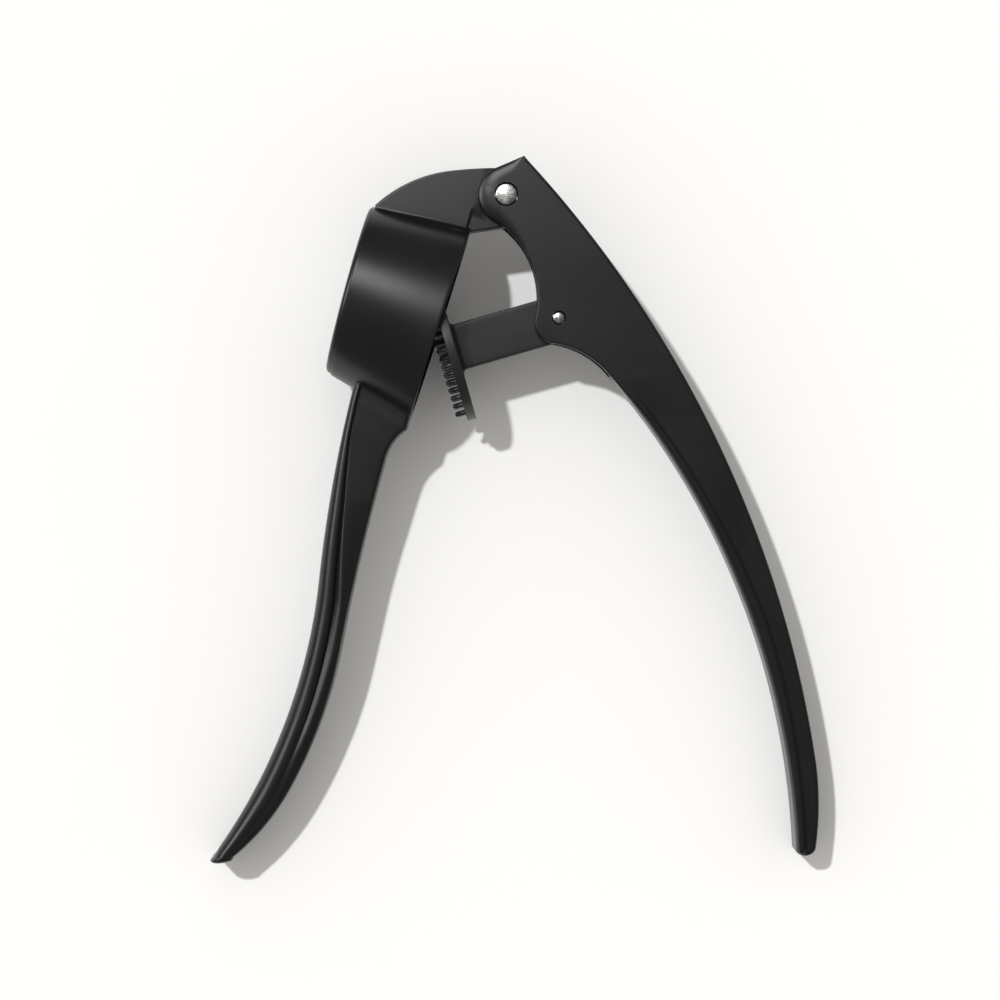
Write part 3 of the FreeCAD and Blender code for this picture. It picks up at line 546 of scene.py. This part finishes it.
def plate_disc():
    """Oval plate: a profile from its middle out over a rounded rim, carried round the oval."""
    angle = np.linspace(0, 2 * math.pi, 193)
    seat, depth, edge = 1.0, 1.0, 0.35
    rings = []
    back, front = -PLATE_REACH + PLATE_THICKNESS, -PLATE_REACH

    def ring(x, inset):
        rings.append(np.stack([x + 0 * angle, (PLATE_HALF_HEIGHT - inset) * np.cos(angle),
                               (PLATE_HALF_WIDTH - inset) * np.sin(angle)], 1))

    rings.append(np.stack([front + depth + 0 * angle, 0 * angle, 0 * angle], 1))
    for inset in (8.0, seat):
        ring(front + depth, inset)
    for x in (depth - 0.1, 0.1, 0.0):
        ring(front + x, seat if x else seat - 0.1)
    for turn in np.radians(np.linspace(0, 90, 5)):
        ring(front + edge * (1 - math.sin(turn)), edge * (1 - math.sin(turn)))
    for turn in np.radians(np.linspace(0, 90, 5)):
        ring(back - edge * (1 - math.sin(turn)), edge * (1 - math.cos(turn)))
    ring(back, 8.0)
    rings.append(np.stack([back + 0 * angle, 0 * angle, 0 * angle], 1))
    return to_plunger(np.array(rings))


def arm():
    """The flat arm: a rounded flat section carried from its swelling at the plate's back to its round end."""
    back = -PLATE_REACH + PLATE_THICKNESS
    root, edge = 1.25, 0.4
    swing = np.radians(np.linspace(0, 90, 24))
    x = np.concatenate([[back - 0.8], back + root * (1 - np.cos(np.radians(np.linspace(0, 90, 9)))),
                        np.linspace(back + root, 0, 40)[1:], ARM_HALF_HEIGHT * np.sin(swing)[1:]])
    near = np.clip((x - back) / root, 0, 1)
    swell = 1 - np.sqrt(1 - (1 - near) ** 2)
    round_end = np.sqrt(np.clip(ARM_HALF_HEIGHT ** 2 - x ** 2, 0, None))
    half = np.where(x > 0, round_end, ARM_HALF_HEIGHT + root * swell)
    top = ARM_HALF_WIDTH + 0.9 * swell
    inset = np.minimum(edge, half)
    columns = []
    for share in (0.0, 0.5):
        columns.append((half, (top - edge) * share))
    for turn in np.radians(np.linspace(0, 90, 7)):
        columns.append((half - inset * (1 - math.cos(turn)), top - edge * (1 - math.sin(turn))))
    flat = half - inset
    for share in np.linspace(1, -1, 15)[1:-1]:
        columns.append((flat * share, top))
    lower = [(-y, z) for y, z in columns[:9]][::-1]
    return np.array([np.stack([x, y, z], 1) for y, z in columns + lower])


def peg_grid(half_height, half_width, row_pitch=2.0, pitch=4.0):
    """Centres of a staggered grid inside an oval."""
    rows = np.arange(-int(half_height / row_pitch), int(half_height / row_pitch) + 1)
    columns = np.arange(-8, 9)
    up, side = np.meshgrid(rows, columns, indexing="ij")
    y = up * row_pitch
    z = (side + 0.5 * (np.abs(up) % 2)) * pitch
    keep = (y / half_height) ** 2 + (z / half_width) ** 2 <= 1
    return np.stack([y[keep], z[keep]], 1)


def peg_plate():
    """The moulded insert: a thin oval base, and round-ended pegs carried round their own axes."""
    angle = np.linspace(0, 2 * math.pi, 129)
    front = -PLATE_REACH
    rings = []
    for x, scale in ((1.0, 0.0), (1.0, 1.0), (0.12, 1.0), (0.0, 0.993), (0.0, 0.0)):
        rings.append(np.stack([front + x + 0 * angle, (PLATE_HALF_HEIGHT - 1.0) * scale * np.cos(angle),
                               (PLATE_HALF_WIDTH - 1.0) * scale * np.sin(angle)], 1))
    sheets = [to_plunger(np.array(rings))]
    turn = np.linspace(0, 2 * math.pi, 15)
    radius, length = 0.7, 2.6
    profile = [(-0.4, 0.0), (-0.4, radius), (0.0, radius + 0.12), (0.15, radius), (length - radius, radius)]
    profile += [(length - radius + radius * math.sin(a), radius * math.cos(a))
                for a in np.radians((25, 50, 72, 90))]
    profile = np.array(profile)
    x, out = front - profile[:, :1] + 0 * turn, profile[:, 1:]
    for y, z in peg_grid(16.7, 12.4):
        sheets.append(to_plunger(np.stack([x, y + out * np.cos(turn), z + out * np.sin(turn)], -1)))
    return sheets


def pin(radius):
    """Turned pin: a profile from the axis out over a shallow cone and a broken edge, then down to the middle."""
    turn = np.linspace(0, 2 * math.pi, 97)
    top = PRESS_HALF - PIN_RECESS
    profile = np.array([(0.0, top), (0.25 * radius, top - 0.02), (0.6 * radius, top - 0.09),
                        (radius - 0.3, top - 0.17), (radius - 0.12, top - 0.24), (radius, top - 0.42), (radius, 3.0), (radius, 0.0)])
    out, up = profile[:, :1], profile[:, 1:]
    return np.stack([out * np.cos(turn), out * np.sin(turn), up + 0 * turn], -1)


# ---------------------------------------------------------------- finishes


def node_group(name, inputs, outputs):
    """An empty shader node group with named sockets."""
    tree = bpy.data.node_groups.new(name, "ShaderNodeTree")
    for label, kind, value in inputs:
        socket = tree.interface.new_socket(name=label, in_out="INPUT", socket_type=f"NodeSocket{kind}")
        if value is not None:
            socket.default_value = value
    for label, kind in outputs:
        tree.interface.new_socket(name=label, in_out="OUTPUT", socket_type=f"NodeSocket{kind}")
    return tree, tree.nodes.new("NodeGroupInput"), tree.nodes.new("NodeGroupOutput")


def math_node(tree, operation, *values, clamp=False):
    """A maths node fed by sockets or numbers."""
    node = tree.nodes.new("ShaderNodeMath")
    node.operation = operation
    node.use_clamp = clamp
    for slot, value in zip(node.inputs, values):
        if isinstance(value, bpy.types.NodeSocket):
            tree.links.new(value, slot)
        else:
            slot.default_value = value
    return node.outputs[0]


def noise(tree, vector, scale, detail=2.0, rough=0.5):
    """Noise over the object's own coordinates, scale in features per metre."""
    node = tree.nodes.new("ShaderNodeTexNoise")
    node.inputs["Scale"].default_value = scale
    node.inputs["Detail"].default_value = detail
    node.inputs["Roughness"].default_value = rough
    tree.links.new(vector, node.inputs["Vector"])
    return node.outputs["Fac"]


def spread(tree, value, low, high, to_low, to_high):
    """Map a value's range onto another, clamped."""
    node = tree.nodes.new("ShaderNodeMapRange")
    for label, number in (("From Min", low), ("From Max", high), ("To Min", to_low), ("To Max", to_high)):
        node.inputs[label].default_value = number
    tree.links.new(value, node.inputs["Value"])
    return node.outputs["Result"]


def casting_grain_group():
    """Coated casting: fine orange peel, soft unevenness, sparse pale specks, and rubbed patches."""
    tree, start, end = node_group(
        "casting_grain",
        [("Vector", "Vector", None), ("Peel", "Float", 1.0), ("Specks", "Float", 1.0)],
        [("Height", "Float"), ("Specks", "Float"), ("Patches", "Float")],
    )
    vector = start.outputs["Vector"]
    peel = noise(tree, vector, 2600, 3.0, 0.6)
    swell = noise(tree, vector, 260, 2.0)
    fleck = spread(tree, noise(tree, vector, 1500, 0.0), 0.70, 0.78, 0.0, 1.0)
    sparse = spread(tree, noise(tree, vector, 190, 2.0), 0.5, 0.62, 0.0, 1.0)
    specks = math_node(tree, "MULTIPLY", fleck, sparse)
    specks = math_node(tree, "MULTIPLY", specks, start.outputs["Specks"])
    height = math_node(tree, "ADD", math_node(tree, "MULTIPLY", peel, start.outputs["Peel"]),
                       math_node(tree, "MULTIPLY", swell, 0.8))
    height = math_node(tree, "ADD", height, math_node(tree, "MULTIPLY", specks, 0.5))
    tree.links.new(height, end.inputs["Height"])
    tree.links.new(specks, end.inputs["Specks"])
    tree.links.new(noise(tree, vector, 45, 3.0), end.inputs["Patches"])
    return tree


def new_material(name):
    """A material with its shader, and the piece's own coordinates."""
    material = bpy.data.materials.new(name)
    material.use_nodes = True
    tree = material.node_tree
    shader = next(n for n in tree.nodes if n.type == "BSDF_PRINCIPLED")
    place = tree.nodes.new("ShaderNodeTexCoord").outputs["Object"]
    return material, tree, shader, place


def mix_colour(tree, share, low, high):
    """Blend of two colours by a share."""
    node = tree.nodes.new("ShaderNodeMix")
    node.data_type = "RGBA"
    node.inputs[6].default_value = (*low, 1)
    node.inputs[7].default_value = (*high, 1)
    tree.links.new(share, node.inputs[0])
    return node.outputs[2]


def bump(tree, shader, height, distance):
    """Relief on the shader's normal, its distance in metres."""
    node = tree.nodes.new("ShaderNodeBump")
    node.inputs["Distance"].default_value = distance
    tree.links.new(height, node.inputs["Height"])
    tree.links.new(node.outputs["Normal"], shader.inputs["Normal"])


def coating(name, low, high, rough_low, rough_high, peel, specks, relief):
    """Satin black coat on a casting."""
    material, tree, shader, place = new_material(name)
    grain = tree.nodes.new("ShaderNodeGroup")
    grain.node_tree = CASTING_GRAIN
    grain.inputs["Peel"].default_value = peel
    grain.inputs["Specks"].default_value = specks
    tree.links.new(place, grain.inputs["Vector"])
    share = math_node(tree, "ADD", math_node(tree, "MULTIPLY", grain.outputs["Specks"], 1.5),
                      spread(tree, grain.outputs["Patches"], 0.35, 0.7, 0.0, 0.4), clamp=True)
    tree.links.new(mix_colour(tree, share, low, high), shader.inputs["Base Color"])
    rough = spread(tree, grain.outputs["Patches"], 0.3, 0.7, rough_low, rough_high)
    tree.links.new(rough, shader.inputs["Roughness"])
    shader.inputs["Specular IOR Level"].default_value = 0.5
    bump(tree, shader, grain.outputs["Height"], relief)
    return material


def turned_steel(name, centre):
    """Bright turned pin end: fine rings about the axis, and streaks round it that are partly machining chatter and
    partly painted radial glints.
    """
    material, tree, shader, place = new_material(name)
    mapping = tree.nodes.new("ShaderNodeMapping")
    mapping.inputs["Location"].default_value = [-c * MM for c in centre]
    tree.links.new(place, mapping.inputs["Vector"])
    wave = tree.nodes.new("ShaderNodeTexWave")
    wave.wave_type, wave.rings_direction = "RINGS", "Z"
    wave.inputs["Scale"].default_value = 1500
    wave.inputs["Distortion"].default_value = 0.6
    wave.inputs["Detail"].default_value = 1.0
    tree.links.new(mapping.outputs["Vector"], wave.inputs["Vector"])
    gradient = tree.nodes.new("ShaderNodeTexGradient")
    gradient.gradient_type = "RADIAL"
    tree.links.new(mapping.outputs["Vector"], gradient.inputs["Vector"])
    # streaks round the axis in the steel's colour and roughness: partly machining chatter, partly painted radial
    # glints
    chatter_and_glint_streaks = noise(tree, math_vector(tree, gradient.outputs["Fac"], 6.0), 1.0, 2.0, 0.5)
    share = spread(tree, chatter_and_glint_streaks, 0.35, 0.65, 0.0, 1.0)
    colour = mix_colour(tree, share, (0.42, 0.41, 0.4), (0.78, 0.77, 0.75))
    tree.links.new(colour, shader.inputs["Base Color"])
    tree.links.new(spread(tree, chatter_and_glint_streaks, 0.3, 0.7, 0.2, 0.34), shader.inputs["Roughness"])
    shader.inputs["Metallic"].default_value = 1.0
    height = math_node(tree, "ADD", wave.outputs["Fac"], math_node(tree, "MULTIPLY", chatter_and_glint_streaks, 0.3))
    bump(tree, shader, height, 0.000005)
    return material


def math_vector(tree, value, scale):
    """A vector along X of a value times a scale."""
    node = tree.nodes.new("ShaderNodeCombineXYZ")
    tree.links.new(math_node(tree, "MULTIPLY", value, scale), node.inputs["X"])
    return node.outputs["Vector"]


def brushed_sheet(name):
    """Perforated stainless: fine straight brushing across the plate."""
    material, tree, shader, place = new_material(name)
    mapping = tree.nodes.new("ShaderNodeMapping")
    mapping.inputs["Scale"].default_value = (1.0, 0.04, 1.0)
    tree.links.new(place, mapping.inputs["Vector"])
    lines = noise(tree, mapping.outputs["Vector"], 6000, 2.0, 0.7)
    tree.links.new(mix_colour(tree, lines, (0.38, 0.38, 0.37), (0.62, 0.61, 0.6)), shader.inputs["Base Color"])
    tree.links.new(spread(tree, lines, 0.3, 0.7, 0.22, 0.4), shader.inputs["Roughness"])
    shader.inputs["Metallic"].default_value = 1.0
    bump(tree, shader, lines, 0.00001)
    return material


def moulded(name, low, high, roughness, relief):
    """Moulded plastic: slight flow unevenness in the gloss."""
    material, tree, shader, place = new_material(name)
    flow = noise(tree, place, 320, 3.0)
    tree.links.new(mix_colour(tree, flow, low, high), shader.inputs["Base Color"])
    tree.links.new(spread(tree, flow, 0.3, 0.7, roughness * 0.8, roughness * 1.3), shader.inputs["Roughness"])
    bump(tree, shader, flow, relief)
    return material


CASTING_GRAIN = casting_grain_group()
HOPPER_COAT = coating("satin_black_coat", (0.007, 0.007, 0.0071), (0.011, 0.011, 0.011),
                      rough_low=0.29, rough_high=0.34, peel=0.35, specks=0.5, relief=0.000006)
PLUNGER_COAT = coating("plunger_black_coat", (0.011, 0.011, 0.0111), (0.024, 0.024, 0.024),
                       rough_low=0.34, rough_high=0.42, peel=0.8, specks=1.5, relief=0.000015)
PIN_STEEL = turned_steel("turned_pin_steel", MAIN_PIN)
SMALL_PIN_STEEL = turned_steel("turned_small_pin_steel", JOINTS["plunger_hinge"])
SIEVE_STEEL = brushed_sheet("brushed_sieve_steel")
PEG_PLASTIC = moulded("glossy_peg_plastic", (0.010, 0.010, 0.011), (0.016, 0.016, 0.017), 0.16, 0.00002)
WASHER_PLASTIC = moulded("plain_washer_plastic", (0.014, 0.014, 0.014), (0.024, 0.024, 0.024), 0.5, 0.00003)

# ---------------------------------------------------------------- pieces
hopper_casting = add_piece("hopper_casting", [pierced_plate(ear(), MAIN_PIN_RADIUS + 0.15, ear_face, 0.45), grip()],
                           "hopper", HOPPER_COAT)
hopper_cup = add_piece("hopper_cup", [hopper_wall()], "hopper", HOPPER_COAT, mirrored=False)
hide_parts("hopper_handle")
press_casting = add_piece("press_casting", [press_handle()], "press", HOPPER_COAT)
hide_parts("press_handle")
drill(press_casting, (0.0, 0.0), MAIN_PIN_RADIUS + 0.25)
drill(press_casting, PLUNGER_PIN, SMALL_PIN_RADIUS + 0.22)

plunger_arm = add_piece("plunger_arm", [to_plunger(arm())], "plunger", PLUNGER_COAT)
drill(plunger_arm, PLUNGER_PIN, SMALL_PIN_RADIUS + 0.15)
plunger_plate = add_piece("plunger_plate", [plate_disc()], "plunger", PLUNGER_COAT, mirrored=False)
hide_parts("plunger")
pegs = add_piece("peg_insert", peg_plate(), "plunger", PEG_PLASTIC, mirrored=False)
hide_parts("peg_plate")
main_pin = add_piece("turned_main_pin", [pin(MAIN_PIN_RADIUS)], "press", PIN_STEEL)
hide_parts("main_pivot_pin")
small_pin_sheet = pin(SMALL_PIN_RADIUS) + np.array([*PLUNGER_PIN, 0])
small_pin = add_piece("turned_plunger_pin", [small_pin_sheet], "press", SMALL_PIN_STEEL)
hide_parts("plunger_pivot_pin")
for node, material in (("sieve_plate", SIEVE_STEEL), ("main_pivot_washers", WASHER_PLASTIC),
                       ("plunger_pivot_washers", WASHER_PLASTIC)):
    shown = frame["nodes"][node]
    shown.data.materials.clear()
    shown.data.materials.append(material)

# ---------------------------------------------------------------- floor, light and camera
tips = np.array([(114.5, -137.5, -PRESS_HALF + 0.3), (-25.5, -178.5, -GRIP_HALF + 0.3),
                 (-20.0, -34.3, -HOPPER_HALF_WIDTH)]) + MAIN_PIN
slope = np.linalg.solve(np.c_[tips[:, :2], np.ones(3)], tips[:, 2])


def lowest(pieces):
    """How far the pieces reach over the tilted plane, or under it if less than 0."""
    gaps = []
    for piece in pieces:
        points = np.empty(3 * len(piece.data.vertices), np.float32)
        piece.data.vertices.foreach_get("co", points)
        points = points.reshape(-1, 3) / MM
        gaps.append((points[:, 2] - points[:, :2] @ slope[:2] - slope[2]).min())
    return min(gaps)


def floor():
    """A wide flat floor under the three places where the press touches it."""
    reach = 3000.0
    corners = np.array([(-reach, -reach), (reach, -reach), (reach, reach), (-reach, reach)])
    heights = corners @ slope[:2] + slope[2] + lowest((hopper_casting, hopper_cup, press_casting)) - 0.02
    mesh = bpy.data.meshes.new("floor")
    mesh.from_pydata((np.c_[corners, heights] * MM).tolist(), [], [(0, 1, 2, 3)])
    plane = bpy.data.objects.new("floor", mesh)
    bpy.context.scene.collection.objects.link(plane)
    material, tree, shader, place = new_material("pale_floor")
    tree.links.new(mix_colour(tree, noise(tree, place, 30, 2.0), (0.845, 0.845, 0.842), (0.855, 0.855, 0.852)),
                   shader.inputs["Base Color"])
    shader.inputs["Roughness"].default_value = 0.9
    shader.inputs["Specular IOR Level"].default_value = 0.1
    mesh.materials.append(material)


floor()

AWAY = np.array([-0.016, 0.022, 1.0])
AWAY /= np.linalg.norm(AWAY)
RIGHT = np.array([0.9646, 0.2639, 0.0])
RIGHT -= RIGHT @ AWAY * AWAY
RIGHT /= np.linalg.norm(RIGHT)
UP = np.cross(AWAY, RIGHT)


def aimed(direction):
    """Rotation of a lamp that shines from a direction."""
    return Vector(direction).to_track_quat("Z", "Y").to_euler()


DISTANCE, FIELD = 0.70, 0.25  # camera to the press, and the width that it sees, in metres
ROOM_LIGHT, ROOM_SHINE = 0.60, 0.12  # how bright the room is on a surface, and in a reflection
view_centre = (MAIN_PIN + np.array([18.55, -73.47, 0.0])) * MM

sun_data = bpy.data.lights.new("key_light", "SUN")
sun_data.energy = 2.15
sun_data.angle = math.radians(2.5)
sun = bpy.data.objects.new("key_light", sun_data)
sun.rotation_euler = aimed(tuple(-0.42 * RIGHT + 0.42 * UP + AWAY))
sun.visible_glossy = False
bpy.context.scene.collection.objects.link(sun)

world = bpy.data.worlds.new("studio")
world.use_nodes = True
world.node_tree.nodes["Background"].inputs["Color"].default_value = (1.0, 0.975, 0.94, 1)
strength = world.node_tree.nodes["Background"].inputs["Strength"]
ray = world.node_tree.nodes.new("ShaderNodeLightPath")
dimmed = math_node(world.node_tree, "MULTIPLY_ADD", ray.outputs["Is Glossy Ray"],
                   ROOM_SHINE - ROOM_LIGHT, ROOM_LIGHT)
world.node_tree.links.new(dimmed, strength)
bpy.context.scene.world = world


def softbox(name, from_middle, size, energy):
    """A round softbox that shows in the coat and the steel but leaves the floor to the sun and the room."""
    data = bpy.data.lights.new(name, "AREA")
    data.shape, data.size, data.energy = "DISK", size, energy
    lamp = bpy.data.objects.new(name, data)
    lamp.rotation_euler = aimed(tuple(from_middle))
    lamp.location = tuple(view_centre + from_middle)
    lamp.visible_diffuse = lamp.visible_camera = False
    bpy.context.scene.collection.objects.link(lamp)


softbox("softbox_above", -0.09 * RIGHT + 0.27 * UP + 0.62 * AWAY, 0.24, 1.3)
softbox("softbox_left", -0.50 * RIGHT + 0.15 * UP + 0.50 * AWAY, 0.34, 1.7)
bpy.context.scene.view_settings.view_transform = "Standard"

camera_data = bpy.data.cameras.new("camera")
camera_data.sensor_width = 36.0
camera_data.lens = 36.0 * DISTANCE / FIELD
camera_data.clip_start = 0.01
camera = bpy.data.objects.new("camera", camera_data)
eye = view_centre + DISTANCE * AWAY
camera.matrix_world = Matrix(np.r_[np.c_[RIGHT, UP, AWAY, eye], [[0, 0, 0, 1]]].tolist())
bpy.context.scene.collection.objects.link(camera)
bpy.context.scene.camera = camera
